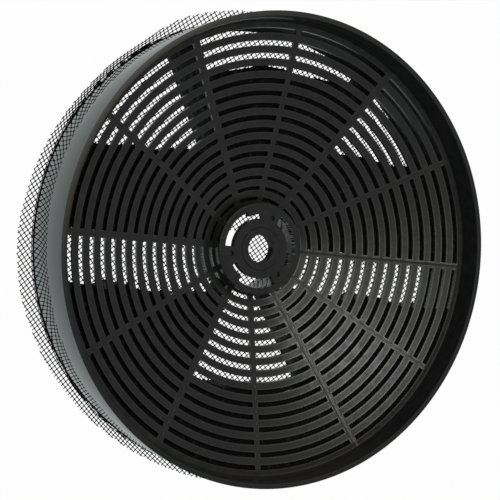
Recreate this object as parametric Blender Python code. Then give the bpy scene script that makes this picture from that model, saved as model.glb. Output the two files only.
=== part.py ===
"""Round carbon filter for a cooker hood, lying on its back with the slotted grille up.

The housing is one moulding: a rim, an outer wall, a dished grille of ring slots crossed by
twelve spokes, a raised hub with three bayonet slots, and six walls behind the grille that
divide the carbon. A net closes the back, and the carbon lies in six loose beds.
"""
import math

import bmesh
import bpy
from mathutils import Vector

MM = 0.001

# Net: how far it stands out round the rim, its hole, and the windows that stand for its cells
NET_THICK = 0.8
NET_BRIM = 5.5
NET_HOLE_RADIUS = 11.9
NET_HOLE_X = -3.0
NET_HOLE_Y = -3.0
NET_WINDOWS_ACROSS = 10
NET_RIB = 3.0
NET_TURN_DEG = 45.0
NET_SECTORS = 24
NET_RIM_STEPS = 3
NET_SOLID_EDGE = 7.0
NET_WINDOW_REACH = 5.0

# Clearance between neighbouring pieces
GAP = 0.3

# Housing
RIM_RADIUS = 120.0
RIM_ROUND = 0.6
LIP_WIDTH = 2.6
WALL_TAPER = 0.5
WALL_THICK = 2.5
BODY_HEIGHT = 60.0
BACK_EDGE_RISE = 13.2

# Grille
GRILLE_THICK = 1.8
FLANGE_LEDGE = 1.0
FLANGE_DROP = 11.37
GRILLE_DROP = 38.63
# The narrow slots' and the first wide slot's distances from the hub, and the last one's
# from the flange
SLOT_INNER_OFFSETS = (2.0, 7.5, 13.2)
SLOT_INNER_WIDTH = 1.9
SLOT_FIRST_OFFSET = 19.4
SLOT_LAST_OFFSET = 4.0
SLOT_COUNT = 12
SLOT_WIDTH = 2.5
MAIN_SPOKE_WIDTH = 3.7
LIGHT_SPOKE_WIDTH = 3.0
SPOKES = 12
STEPS_BETWEEN_SPOKES = 4

# Hub
HUB_RADIUS = 24.4
HUB_WALL = 2.2
HUB_DROP = 32.0
HUB_DISC_THICK = 2.3
HUB_HOLE_RADIUS = 7.4
COLLAR_RADIUS = 11.0
COLLAR_HEIGHT = 1.0
BAYONET_INNER_RADIUS = 15.8
BAYONET_NARROW_RADIUS = 18.2
BAYONET_OUTER_RADIUS = 20.8
BAYONET_START_DEG = -28.0
BAYONET_WIDE_DEG = -5.0
BAYONET_END_DEG = 60.0
BAYONETS = 3

# Top edge of the loose carbon in each space, along Y as a share of the rim's radius, going
# round from the space that starts at +X
BED_LEVEL_SHARES = (0.4458, 0.7792, 0.3625, -0.2125, -0.5958, -0.1792)
BED_RINGS = 3

SHARP_EDGE_DEG = 25.0

SECTOR = math.tau / SPOKES
HUB_BACK_Z = NET_THICK + GAP
RIM_Z = HUB_BACK_Z + BODY_HEIGHT
BACK_EDGE_RADIUS = RIM_RADIUS - WALL_TAPER
BACK_SLOPE = BACK_EDGE_RISE / (BACK_EDGE_RADIUS - HUB_RADIUS)
WALL_INNER_RADIUS = BACK_EDGE_RADIUS - WALL_THICK
FLANGE_RADIUS = WALL_INNER_RADIUS - FLANGE_LEDGE
FLANGE_Z = RIM_Z - FLANGE_DROP
GRILLE_SLOPE = (GRILLE_DROP - FLANGE_DROP) / (FLANGE_RADIUS - HUB_RADIUS)
SLOT_INNER_RADII = [HUB_RADIUS + offset for offset in SLOT_INNER_OFFSETS]
SLOT_FIRST_RADIUS = HUB_RADIUS + SLOT_FIRST_OFFSET
SLOT_PITCH = (FLANGE_RADIUS - SLOT_LAST_OFFSET - SLOT_FIRST_RADIUS) / (SLOT_COUNT - 1)
NET_RADIUS = RIM_RADIUS + NET_BRIM
NET_PITCH = 2 * RIM_RADIUS / NET_WINDOWS_ACROSS
NET_WINDOW_LIMIT = RIM_RADIUS - NET_SOLID_EDGE
HUB_TOP_Z = RIM_Z - HUB_DROP
HUB_INNER_RADIUS = HUB_RADIUS - HUB_WALL


def back_z(radius):
    """Height of the housing's back edge, a shallow cone that is flat across the hub."""
    return HUB_BACK_Z + BACK_SLOPE * max(0.0, radius - HUB_RADIUS)


def grille_z(radius):
    """Height of the grille's front surface."""
    return FLANGE_Z - GRILLE_SLOPE * (FLANGE_RADIUS - radius)


def slot_edges():
    """Radii of the ring slots' inner and outer edges, from the hub outwards."""
    slots = [(radius, SLOT_INNER_WIDTH) for radius in SLOT_INNER_RADII]
    for index in range(SLOT_COUNT):
        slots.append((SLOT_FIRST_RADIUS + SLOT_PITCH * index, SLOT_WIDTH))
    edges = []
    for radius, width in slots:
        edges.append(radius - width / 2)
        edges.append(radius + width / 2)
    return edges


def profile():
    """Front and back points of the moulding's section, paired from the centre outwards.

    Each entry is a name, the front radius and height, and the back radius and height.
    """
    disc_back = HUB_TOP_Z - HUB_DISC_THICK
    flange_back = FLANGE_Z - GRILLE_THICK
    points = [
        ("hole", HUB_HOLE_RADIUS, HUB_TOP_Z + COLLAR_HEIGHT, HUB_HOLE_RADIUS, disc_back),
        ("collar_top", COLLAR_RADIUS, HUB_TOP_Z + COLLAR_HEIGHT, COLLAR_RADIUS, disc_back),
        ("collar_foot", COLLAR_RADIUS, HUB_TOP_Z, COLLAR_RADIUS + COLLAR_HEIGHT, disc_back),
        ("bayonet_in", BAYONET_INNER_RADIUS, HUB_TOP_Z, BAYONET_INNER_RADIUS, disc_back),
        ("bayonet_step", BAYONET_NARROW_RADIUS, HUB_TOP_Z, BAYONET_NARROW_RADIUS, disc_back),
        ("bayonet_out", BAYONET_OUTER_RADIUS, HUB_TOP_Z, BAYONET_OUTER_RADIUS, disc_back),
        ("hub_top", HUB_RADIUS, HUB_TOP_Z, HUB_INNER_RADIUS, disc_back),
        ("hub_foot", HUB_RADIUS, grille_z(HUB_RADIUS), HUB_RADIUS,
         grille_z(HUB_RADIUS) - GRILLE_THICK),
    ]
    for index, radius in enumerate(slot_edges()):
        name = "slot_in" if index % 2 == 0 else "slot_out"
        points.append((name, radius, grille_z(radius), radius, grille_z(radius) - GRILLE_THICK))
    points.append(("flange", FLANGE_RADIUS, FLANGE_Z, FLANGE_RADIUS, flange_back))
    points.append(("lip_in", RIM_RADIUS - LIP_WIDTH, RIM_Z, WALL_INNER_RADIUS, flange_back))
    points.append(("lip_out", RIM_RADIUS - RIM_ROUND, RIM_Z,
                   (WALL_INNER_RADIUS + BACK_EDGE_RADIUS) / 2, flange_back))
    points.append(("rim_out", RIM_RADIUS, RIM_Z - RIM_ROUND, BACK_EDGE_RADIUS, flange_back))
    return points


def half_width(spoke):
    return (MAIN_SPOKE_WIDTH if spoke % 2 == 0 else LIGHT_SPOKE_WIDTH) / 2


def has_bayonet_end(spoke):
    """True where a bayonet slot ends at or near a spoke's middle line."""
    spokes_per_bayonet = SPOKES // BAYONETS
    return spoke % spokes_per_bayonet in (spokes_per_bayonet - 2, spokes_per_bayonet - 1)


def columns():
    """Column lines round the moulding, as spoke number, side of it and steps after it.

    Side -1 and +1 are a spoke's own edges, which run parallel. Side 0 with steps above 0
    is a radial line between spokes. Side 0 with no steps is a bayonet slot's end, a line
    that only the hub has.
    """
    lines = []
    for spoke in range(SPOKES):
        lines.append((spoke, -1, 0))
        if has_bayonet_end(spoke):
            lines.append((spoke, 0, 0))
        lines.append((spoke, 1, 0))
        for step in range(1, STEPS_BETWEEN_SPOKES):
            lines.append((spoke, 0, step))
    return lines


def column_angle(line, radius):
    spoke, side, step = line
    if step:
        return SECTOR * (spoke + step / STEPS_BETWEEN_SPOKES)
    if side:
        return SECTOR * spoke + side * math.asin(half_width(spoke) / max(radius, HUB_RADIUS))
    turn = math.tau / BAYONETS
    start = math.radians(BAYONET_START_DEG)
    if spoke % 2 == 0:
        return SECTOR * spoke
    return start + turn * round((SECTOR * spoke - start) / turn)


def plan_point(line, radius, height):
    angle = column_angle(line, radius)
    return Vector((radius * math.cos(angle), radius * math.sin(angle), height)) * MM


def in_bayonet(line, next_line, start_deg):
    """True for the columns from an angle in a bayonet slot to the slot's end."""
    turn = math.tau / BAYONETS
    span = math.radians(BAYONET_END_DEG - start_deg)
    first = column_angle(line, HUB_RADIUS)
    last = column_angle(next_line, HUB_RADIUS)
    if last < first:
        last += math.tau
    middle = (first + last) / 2 - math.radians(start_deg)
    return middle % turn < span


def build_housing():
    mesh = bpy.data.meshes.new("housing")
    bm = bmesh.new()
    row_tag = bm.verts.layers.int.new("row")
    column_tag = bm.verts.layers.int.new("column")
    face_row = bm.faces.layers.int.new("face_row")
    face_column = bm.faces.layers.int.new("face_column")
    points = profile()
    names = [point[0] for point in points]
    hub_top = names.index("hub_top")
    hub_foot = names.index("hub_foot")
    wall_row = names.index("lip_in")
    lines = columns()
    hub_only = [side == 0 and step == 0 for _, side, step in lines]

    grid = []
    for row, (_, radius, height, _, _) in enumerate(points):
        ring = []
        for column, line in enumerate(lines):
            if row > hub_top and hub_only[column]:
                ring.append(None)
                continue
            vert = bm.verts.new(plan_point(line, radius, height))
            vert[row_tag] = row
            vert[column_tag] = column
            ring.append(vert)
        grid.append(ring)
    # A bayonet slot's end line stops on the flat between its neighbours at the hub's edge.
    for column, only in enumerate(hub_only):
        if only:
            before = grid[hub_top][column - 1].co
            after = grid[hub_top][(column + 1) % len(lines)].co
            grid[hub_top][column].co = (before + after) / 2

    def add_face(corners, row, column):
        face = bm.faces.new([corner for corner in corners if corner is not None])
        face[face_row] = row
        face[face_column] = column

    for row in range(len(points) - 1):
        outer_ring = grid[row + 1]
        for column, line in enumerate(lines):
            if row >= hub_top and hub_only[column]:
                continue
            after = (column + 1) % len(lines)
            is_spoke = line[1] == -1 or (line[1] == 0 and line[2] == 0)
            if names[row] == "slot_in" and not is_spoke:
                continue
            if names[row] == "bayonet_in" and in_bayonet(line, lines[after], BAYONET_START_DEG):
                continue
            if names[row] == "bayonet_step" and in_bayonet(line, lines[after], BAYONET_WIDE_DEG):
                continue
            skipped = None
            if row >= hub_top and hub_only[after]:
                skipped = grid[row][after]
                after = (after + 1) % len(lines)
            corners = [grid[row][column], outer_ring[column], outer_ring[after],
                       grid[row][after], skipped]
            add_face(corners, row, column)

    shell = bmesh.ops.extrude_face_region(bm, geom=bm.faces[:])
    back_verts = [item for item in shell["geom"] if isinstance(item, bmesh.types.BMVert)]
    back_faces = [item for item in shell["geom"] if isinstance(item, bmesh.types.BMFace)]
    for vert in back_verts:
        _, _, _, radius, height = points[vert[row_tag]]
        vert.co = plan_point(lines[vert[column_tag]], radius, height)
    for vert in back_verts:
        if vert[row_tag] == hub_top and hub_only[vert[column_tag]]:
            column = vert[column_tag]
            radius, height = points[hub_top][3:]
            before = plan_point(lines[column - 1], radius, height)
            ahead = plan_point(lines[(column + 1) % len(lines)], radius, height)
            vert.co = (before + ahead) / 2

    # The hub's ring, the main spokes and the outer wall's ring go on down to the back.
    deep = []
    for face in back_faces:
        row = face[face_row]
        spoke, side, _ = lines[face[face_column]]
        main_spoke = side == -1 and spoke % 2 == 0
        if row == hub_top or row >= wall_row or (main_spoke and row >= hub_foot):
            deep.append(face)
    edges = list(dict.fromkeys(edge for face in deep for edge in face.edges))
    verts = list(dict.fromkeys(vert for face in deep for vert in face.verts))
    walls = bmesh.ops.extrude_face_region(bm, geom=deep + edges + verts)
    for item in walls["geom"]:
        if isinstance(item, bmesh.types.BMVert):
            radius = item.co.xy.length / MM
            if item[row_tag] == hub_top:
                radius = HUB_INNER_RADIUS
            else:
                radius = points[item[row_tag]][3]
            item.co.z = back_z(radius) * MM

    bmesh.ops.recalc_face_normals(bm, faces=bm.faces[:])
    bm.to_mesh(mesh)
    bm.free()
    return add_object(mesh, "housing", (0.015, 0.015, 0.016), 0.3)


def build_net():
    mesh = bpy.data.meshes.new("net")
    bm = bmesh.new()
    hole_centre = Vector((NET_HOLE_X, NET_HOLE_Y, 0.0))
    hole_ring = []
    flat_ring = []
    window_ring = []
    outer_ring = []
    for step in range(NET_SECTORS * NET_RIM_STEPS):
        angle = math.tau * step / (NET_SECTORS * NET_RIM_STEPS)
        direction = Vector((math.cos(angle), math.sin(angle), 0.0))
        outer_ring.append(bm.verts.new(direction * NET_RADIUS * MM))
        if step % NET_RIM_STEPS:
            continue
        hole_ring.append(bm.verts.new((hole_centre + direction * NET_HOLE_RADIUS) * MM))
        flat_ring.append(bm.verts.new(direction * HUB_RADIUS * MM))
        window_ring.append(bm.verts.new(direction * NET_WINDOW_LIMIT * MM))
    for sector in range(NET_SECTORS):
        after = (sector + 1) % NET_SECTORS
        bm.faces.new([hole_ring[sector], flat_ring[sector], flat_ring[after], hole_ring[after]])
        bm.faces.new([flat_ring[sector], window_ring[sector], window_ring[after],
                      flat_ring[after]])
        rim_points = []
        for step in range(NET_RIM_STEPS + 1):
            rim_points.append(outer_ring[(sector * NET_RIM_STEPS + step) % len(outer_ring)])
        bm.faces.new([window_ring[sector]] + rim_points + [window_ring[after]])

    # Cut along both sides of every rib, then take out the windows.
    turn = math.radians(NET_TURN_DEG)
    across = (Vector((math.cos(turn), math.sin(turn), 0.0)),
              Vector((-math.sin(turn), math.cos(turn), 0.0)))
    ribs = int(NET_RADIUS / NET_PITCH) + 1
    for direction in across:
        for rib in range(-ribs, ribs + 1):
            for side in (-1, 1):
                distance = (NET_PITCH * rib + side * NET_RIB / 2) * MM
                everything = bm.verts[:] + bm.edges[:] + bm.faces[:]
                bmesh.ops.bisect_plane(bm, geom=everything, dist=1e-7,
                                       plane_co=direction * distance, plane_no=direction)
    windows = []
    for face in bm.faces:
        centre = face.calc_center_median()
        offsets = []
        middles = []
        for direction in across:
            along = centre.dot(direction) / MM
            middle = (math.floor(along / NET_PITCH) + 0.5) * NET_PITCH
            offsets.append(abs(along - middle))
            middles.append(direction * middle)
        window_half = (NET_PITCH - NET_RIB) / 2
        window = middles[0] + middles[1]
        in_reach = window.length < NET_WINDOW_LIMIT - NET_WINDOW_REACH
        inside = centre.length / MM < NET_WINDOW_LIMIT * math.cos(math.pi / NET_SECTORS)
        clear_of_hub = window.length - window_half > HUB_RADIUS
        if max(offsets) < window_half and in_reach and inside and clear_of_hub:
            windows.append(face)
    bmesh.ops.delete(bm, geom=windows, context="FACES")

    shell = bmesh.ops.extrude_face_region(bm, geom=bm.faces[:])
    lower = {item for item in shell["geom"] if isinstance(item, bmesh.types.BMVert)}
    for vert in bm.verts:
        height = back_z(vert.co.xy.length / MM) - GAP
        if vert in lower:
            height -= NET_THICK
        vert.co.z = height * MM
    bmesh.ops.recalc_face_normals(bm, faces=bm.faces[:])
    bm.to_mesh(mesh)
    bm.free()
    return add_object(mesh, "net", (0.02, 0.02, 0.021), 0.45)


def build_bed(index):
    """Loose carbon in one space, from its lowest corner up to the bed's level."""
    mesh = bpy.data.meshes.new(f"carbon_bed_{index + 1}")
    bm = bmesh.new()
    inner = HUB_RADIUS + GAP
    outer = WALL_INNER_RADIUS - GAP
    side = MAIN_SPOKE_WIDTH / 2 + GAP
    steps = 2 * STEPS_BETWEEN_SPOKES
    start = 2 * SECTOR * index
    grid = []
    for ring in range(BED_RINGS + 1):
        radius = inner + (outer - inner) * ring / BED_RINGS
        row = []
        for step in range(steps + 1):
            angle = start + 2 * SECTOR * step / steps
            if step == 0:
                angle += math.asin(side / radius)
            if step == steps:
                angle -= math.asin(side / radius)
            row.append(bm.verts.new(Vector((math.cos(angle), math.sin(angle), 0.0)) * radius * MM))
        grid.append(row)
    for ring in range(BED_RINGS):
        for step in range(steps):
            bm.faces.new([grid[ring][step], grid[ring + 1][step],
                          grid[ring + 1][step + 1], grid[ring][step + 1]])
    level = Vector((0.0, BED_LEVEL_SHARES[index] * RIM_RADIUS * MM, 0.0))
    bmesh.ops.bisect_plane(bm, geom=bm.verts[:] + bm.edges[:] + bm.faces[:], dist=1e-7,
                           plane_co=level, plane_no=(0.0, 1.0, 0.0), clear_outer=True)
    shell = bmesh.ops.extrude_face_region(bm, geom=bm.faces[:])
    lower = {item for item in shell["geom"] if isinstance(item, bmesh.types.BMVert)}
    for vert in bm.verts:
        radius = vert.co.xy.length / MM
        if vert in lower:
            vert.co.z = back_z(radius) * MM
        else:
            vert.co.z = (grille_z(radius) - GRILLE_THICK - GAP) * MM
    bmesh.ops.recalc_face_normals(bm, faces=bm.faces[:])
    bm.to_mesh(mesh)
    bm.free()
    return add_object(mesh, f"carbon_bed_{index + 1}", (0.03, 0.03, 0.03), 0.9)


def add_object(mesh, name, colour, roughness):
    obj = bpy.data.objects.new(name, mesh)
    bpy.context.scene.collection.objects.link(obj)
    material = bpy.data.materials.new(name)
    material.use_nodes = True
    shader = material.node_tree.nodes["Principled BSDF"]
    shader.inputs["Base Color"].default_value = (*colour, 1.0)
    shader.inputs["Roughness"].default_value = roughness
    mesh.materials.append(material)
    mesh.shade_smooth()
    mesh.set_sharp_from_angle(angle=math.radians(SHARP_EDGE_DEG))
    return obj


def main():
    for obj in list(bpy.data.objects):
        bpy.data.objects.remove(obj, do_unlink=True)
    build_housing()
    build_net()
    for index in range(len(BED_LEVEL_SHARES)):
        build_bed(index)


main()
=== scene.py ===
"""Looks of a round cooker-hood carbon filter.

A glossy black moulding with a dished grille of ring slots lies on its back. A fine black
net is welded over the back and stands out round it as a brim, and loose carbon lies in the
six spaces behind the grille.
"""
import math

import bmesh
import bpy
from bpy.props import FloatProperty, FloatVectorProperty, IntProperty, PointerProperty
from mathutils import Matrix, Vector


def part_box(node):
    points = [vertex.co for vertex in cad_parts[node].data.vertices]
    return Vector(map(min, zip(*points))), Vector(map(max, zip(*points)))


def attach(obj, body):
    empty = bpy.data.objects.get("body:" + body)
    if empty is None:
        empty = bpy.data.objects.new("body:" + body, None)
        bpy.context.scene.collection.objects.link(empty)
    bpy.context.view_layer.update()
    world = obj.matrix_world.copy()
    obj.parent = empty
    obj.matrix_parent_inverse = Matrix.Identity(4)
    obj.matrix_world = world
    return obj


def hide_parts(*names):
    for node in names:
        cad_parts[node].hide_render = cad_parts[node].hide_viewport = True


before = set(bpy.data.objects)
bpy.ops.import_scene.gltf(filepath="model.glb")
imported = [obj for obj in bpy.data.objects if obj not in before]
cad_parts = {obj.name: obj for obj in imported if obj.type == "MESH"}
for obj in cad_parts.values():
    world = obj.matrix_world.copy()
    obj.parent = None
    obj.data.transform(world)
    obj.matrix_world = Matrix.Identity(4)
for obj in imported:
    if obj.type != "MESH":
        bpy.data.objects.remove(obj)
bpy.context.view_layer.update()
HOUSING_LOW, HOUSING_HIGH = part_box("housing")

bl_info = {
    "name": "Round carbon filter",
    "version": (1, 0, 0),
    "blender": (4, 5, 0),
    "location": "3D View > Sidebar > Filter",
    "description": "Adds a round cooker-hood carbon filter piece by piece",
    "category": "Add Mesh",
}

MM = 0.001
SPOKES = 12
SECTOR = math.tau / SPOKES
SLOT_RINGS = 15
INNER_RINGS = 3
BEDS = 6
# How far the back's cone rises from the hub to the wall.
BACK_RISE = 13.2 * MM
# Directions of the net's two families of strands, in degrees from +X.
LONG_TURN = 41.0
SHORT_TURN = 129.3
# How far the hole in the net lies off the axis, towards -X and -Y.
HOLE_SHIFT = 3.0 * MM
# Distance from a knot to the thin part of a strand.
STUB = 0.8 * MM
# How much wider and narrower than its mean the brim gets, and its lesser bend as a share.
BRIM_WIDER = 1.2 * MM
BRIM_NARROWER = 0.9 * MM
LESSER_BEND = 0.7

# Gaps between a bed of carbon and what stands round it, under it and over it.
BED_GAP = 0.3 * MM
BED_FOOT = 0.2 * MM
BED_TOP = 0.7 * MM
# How far a bed's block stays below its seen top edge, which the granules then reach.
BED_EDGE_DROP = 0.9 * MM
# Spacing of the granules and how deep they sit, as shares of their radius.
GRANULE_SPACING = 1.35
GRANULE_SINK = -0.55
GRANULES_PER_SQUARE_METRE = 700000.0

# Ends of a bayonet slot in degrees, and where its narrow start turns wide.
BAYONET_START = -28.0
BAYONET_WIDE = -3.0
BAYONET_END = 60.0
DIMPLE_TURNS = (-47.5, 72.5, 192.5)
DIMPLE_CIRCLE = 17.3 * MM

# Stretches round the axis in degrees from +X: where each starts, is full, fades and ends.
# The grille's stretch lies under the lamp: its painted highlight at the foot and its spokes'
# glossy ridges show there.
HIGHLIT_GRILLE = (258.0, 290.0, 345.0, 360.0)
WORN_LIP = (70.0, 135.0, 145.0, 195.0)
CLEAN_LIP = (165.0, 200.0, 205.0, 300.0)
# The rim's inside gets a brownish painted light in the next stretch, where it faces the lamp.
PAINTED_LIGHT_RIM = (225.0, 255.0, 285.0, 315.0)
WIDE_BRIM = (170.0, 184.0, 194.0, 206.0)
NARROW_BRIM = (200.0, 225.0, 250.0, 275.0)
UPPER_BEND = (106.0, 128.0, 139.0, 183.0)
LOWER_BEND = (212.0, 238.0, 248.0, 272.0)
# Where the light on the slots' edges comes up, and where it goes down past +X.
LIT_FROM = (258.0, 290.0)
LIT_TO = (5.0, 40.0)
# Where the hub's inside is bare of dust, counted from HUB_TURN: up to the first, and over the
# second.
HUB_TURN = 10.0
BARE_HUB_TO = (60.0, 75.0)
BARE_HUB = (225.0, 240.0, 300.0, 310.0)

# The camera's focal length and the picture's width in pixels, and its sensor in mm.
FOCAL_PIXELS = 1204.0
PICTURE_PIXELS = 500.0
SENSOR = 36.0
# A small turn of the fitted camera about the filter's axis, in degrees.
CAMERA_TURN = -0.9


def length(name, description, millimetres, least=0.0):
    """A property that holds a length, given in millimetres."""
    return FloatProperty(name=name, description=description, default=millimetres * MM,
                         min=least * MM, unit="LENGTH")


def shade(name, description, *channels):
    """A property that holds a colour."""
    return FloatVectorProperty(name=name, description=description, subtype="COLOR", size=3,
                               min=0.0, max=1.0, default=channels)


class FilterSizes(bpy.types.PropertyGroup):
    """Sizes of the filter that can be changed by themselves."""

    rim_radius: length("Rim radius", "Outside of the rim at its lip", 120.2, 50.0)
    back_radius: length("Back radius", "Outside of the wall at the back", 119.5, 50.0)
    wall: length("Wall", "Thickness of the outer wall", 2.5, 0.5)
    ledge: length("Weld ledge", "How far the weld's ledge stands in from the outer wall", 1.9)
    lip: length("Lip", "Width of the flat lip round the rim", 2.6, 0.5)
    flange_radius: length("Flange radius", "Where the grille meets the inside of the rim",
                          116.0, 40.0)
    flange_drop: length("Flange drop", "Depth of that corner below the lip", 11.37)
    grille_slope: FloatProperty(name="Grille slope", default=0.2976, min=0.0, max=1.0,
                                description="Rise of the grille for each metre outwards")
    grille_thick: length("Grille thickness", "Thickness of the bars", 1.8, 0.5)
    first_slot: length("First wide slot", "Radius of the innermost of the evenly spaced slots",
                       43.8, 10.0)
    slot_pitch: length("Slot pitch", "Spacing of those slots", 6.2, 1.0)
    slot_width: length("Slot width", "Width of those slots", 2.5, 0.5)
    inner_slot: length("First narrow slot", "Radius of the innermost slot", 26.4, 10.0)
    inner_pitch: length("Narrow slot pitch", "Spacing of the narrow slots", 5.6, 1.0)
    inner_width: length("Narrow slot width", "Width of the narrow slots", 1.9, 0.5)
    main_spoke: length("Main spoke", "Width of the spokes over a wall", 3.7, 1.0)
    light_spoke: length("Light spoke", "Width of the spokes between them", 3.0, 1.0)
    edge_round: length("Edge round", "Rounding of the slots' edges", 0.22)
    hub_radius: length("Hub radius", "Outside of the hub", 24.4, 10.0)
    hub_wall: length("Hub wall", "Thickness of the hub's wall", 2.2, 0.5)
    hub_drop: length("Hub drop", "Depth of the hub's face below the lip", 32.0)
    hub_disc: length("Hub disc", "Thickness of the hub's face", 3.8, 0.5)
    hub_hole: length("Hub hole", "Radius of the hub's centre hole", 7.4, 1.0)
    collar: length("Collar", "Radius of the raised ring round the hole", 11.0, 1.0)
    bayonet_in: length("Bayonet inside", "Inner radius of the arc slots", 15.8, 1.0)
    bayonet_step: length("Bayonet step", "Outer radius of the arc slots' narrow start", 18.2, 1.0)
    bayonet_out: length("Bayonet outside", "Outer radius of the arc slots", 20.8, 1.0)
    net_long: length("Net cell length", "Longer spacing of the strands", 2.39, 0.5)
    net_short: length("Net cell width", "Shorter spacing of the strands", 2.01, 0.5)
    strand: length("Strand radius", "Radius of one strand of the net", 0.25, 0.05)
    knot: FloatProperty(name="Knot", description="Thickness of a crossing against a strand",
                        default=1.55, min=1.0)
    brim: length("Brim", "Mean width of the net outside the wall", 6.6)
    brim_bend: FloatProperty(name="Brim bend", default=math.radians(50.0), subtype="ANGLE",
                             description="How far the brim is bent forward where it is bent most")
    net_relax: FloatProperty(name="Net relaxation", default=0.16, min=0.0, max=0.5,
                             description="How much the net's longer spacing shrinks past the weld")
    seam: length("Seam", "Radius of the weld between net and wall", 0.25)
    net_hole: length("Net hole", "Radius of the hole in the net", 11.9)
    granule: length("Granule", "Mean radius of one granule of carbon", 1.15, 0.2)
    seed: IntProperty(name="Seed", description="Seed of everything that is scattered", default=7)


class FilterFinish(bpy.types.PropertyGroup):
    """Colours of the filter."""

    moulding: shade("Moulding", "Colour of the rim and the walls", 0.032, 0.032, 0.0315)
    face: shade("Face", "Colour of the grille and the hub", 0.044, 0.044, 0.0425)
    lip: shade("Lip", "Colour of the worn edge of the rim", 0.19, 0.155, 0.12)
    net: shade("Net", "Colour of the net", 0.008, 0.009, 0.009)
    carbon: shade("Carbon", "Colour of the granules", 0.004, 0.004, 0.004)


class Number:
    """A number socket. Arithmetic on it adds Math nodes to its tree."""

    def __init__(self, graph, socket):
        self.graph = graph
        self.socket = socket

    def math(self, operation, *others, first=None):
        values = [self] + list(others) if first is None else [first, self]
        inputs = {index: value for index, value in enumerate(values)}
        node = self.graph.node("ShaderNodeMath", {"operation": operation}, inputs)
        return Number(self.graph, node.outputs[0])

    def __add__(self, other):
        return self.math("ADD", other)

    def __radd__(self, other):
        return self.math("ADD", first=other)

    def __sub__(self, other):
        return self.math("SUBTRACT", other)

    def __rsub__(self, other):
        return self.math("SUBTRACT", first=other)

    def __mul__(self, other):
        return self.math("MULTIPLY", other)

    def __rmul__(self, other):
        return self.math("MULTIPLY", first=other)

    def __truediv__(self, other):
        return self.math("DIVIDE", other)

    def __rtruediv__(self, other):
        return self.math("DIVIDE", first=other)

    def __lt__(self, other):
        return self.math("LESS_THAN", other)

    def __gt__(self, other):
        return self.math("GREATER_THAN", other)

    def floor(self):
        return self.math("FLOOR")

    def clip(self, low, high):
        return self.math("MAXIMUM", low).math("MINIMUM", high)


def pick(mask, yes, no):
    """One number where a mask is 1, another where it is 0."""
    return no + mask * (yes - no)


def whole_and_rest(index, size):
    """A whole number divided by a size, and what is left over."""
    whole = ((index + 0.5) / size).floor()
    return whole, index - whole * size


def is_odd(number):
    return (number - (number / 2.0 + 0.25).floor() * 2.0) > 0.5


def full_turn(angle):
    """An angle as one from 0 to a full turn."""
    return angle.math("FLOORED_MODULO", math.tau)


class Graph:
    """One node tree, with a method that adds any node and joins it up."""

    def __init__(self, tree):
        self.tree = tree

    def node(self, kind, settings=None, inputs=None):
        node = self.tree.nodes.new(kind)
        for name, value in (settings or {}).items():
            setattr(node, name, value)
        for key, value in (inputs or {}).items():
            if isinstance(key, int):
                socket = node.inputs[key]
            else:
                socket = next(s for s in node.inputs if s.name == key and s.enabled)
            for item in value if isinstance(value, list) else [value]:
                self.join(socket, item)
        return node

    def join(self, socket, value):
        if isinstance(value, Number):
            value = value.socket
        if isinstance(value, bpy.types.NodeSocket):
            self.tree.links.new(value, socket)
        else:
            socket.default_value = value

    def out(self, node, name):
        return next(s for s in node.outputs if s.name == name and s.enabled)

    def number(self, kind, settings=None, inputs=None, output=0):
        node = self.node(kind, settings, inputs)
        socket = node.outputs[output] if isinstance(output, int) else self.out(node, output)
        return Number(self, socket)

    def vector(self, x, y, z):
        node = self.node("ShaderNodeCombineXYZ", None, {0: x, 1: y, 2: z})
        return node.outputs[0]

    def parts(self, vector):
        node = self.node("ShaderNodeSeparateXYZ", None, {0: vector})
        return [Number(self, socket) for socket in node.outputs]


class Growth(Graph):
    """A Geometry Nodes tree with named number inputs."""

    def __init__(self, name, sizes):
        super().__init__(bpy.data.node_groups.new(name, "GeometryNodeTree"))
        face = self.tree.interface
        face.new_socket("Geometry", in_out="INPUT", socket_type="NodeSocketGeometry")
        self.values = {}
        for label, value in sizes.items():
            kind = "NodeSocketInt" if isinstance(value, int) else "NodeSocketFloat"
            item = face.new_socket(label, in_out="INPUT", socket_type=kind)
            self.values[item.identifier] = value
        face.new_socket("Geometry", in_out="OUTPUT", socket_type="NodeSocketGeometry")
        self.entry = self.node("NodeGroupInput")

    def size(self, label):
        return Number(self, self.out(self.entry, label))

    def finish(self, geometry, material):
        real = self.node("GeometryNodeRealizeInstances", None, {"Geometry": geometry})
        painted = self.node("GeometryNodeSetMaterial", None,
                            {"Geometry": real.outputs[0], "Material": material})
        self.node("NodeGroupOutput", None, {"Geometry": painted.outputs[0]})

    def grow(self, obj):
        """Runs the tree on an object and leaves the result as its plain mesh."""
        modifier = obj.modifiers.new("Growth", "NODES")
        modifier.node_group = self.tree
        for identifier, value in self.values.items():
            modifier[identifier] = value
        return settle(obj)


def settle(obj):
    """Turns an object and its modifiers into one plain mesh."""
    graph = bpy.context.evaluated_depsgraph_get()
    graph.update()
    mesh = bpy.data.meshes.new_from_object(obj.evaluated_get(graph), depsgraph=graph)
    obj.modifiers.clear()
    obj.data = mesh
    mesh.name = obj.name
    return obj


def new_object(name, bm=None):
    mesh = bpy.data.meshes.new(name)
    if bm is not None:
        bm.to_mesh(mesh)
        bm.free()
    obj = bpy.data.objects.new(name, mesh)
    bpy.context.scene.collection.objects.link(obj)
    return obj


def smooth(obj, degrees):
    obj.data.shade_smooth()
    obj.data.set_sharp_from_angle(angle=math.radians(degrees))


def add_bevel(obj, width, degrees):
    """A bevel in two steps on edges sharper than an angle."""
    bevel = obj.modifiers.new("Bevel", "BEVEL")
    bevel.width = width
    bevel.segments = 2
    bevel.limit_method = "ANGLE"
    bevel.angle_limit = math.radians(degrees)
    return bevel


def claim(obj, slot, *nodes):
    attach(obj, "root")
    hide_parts(*nodes)


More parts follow.
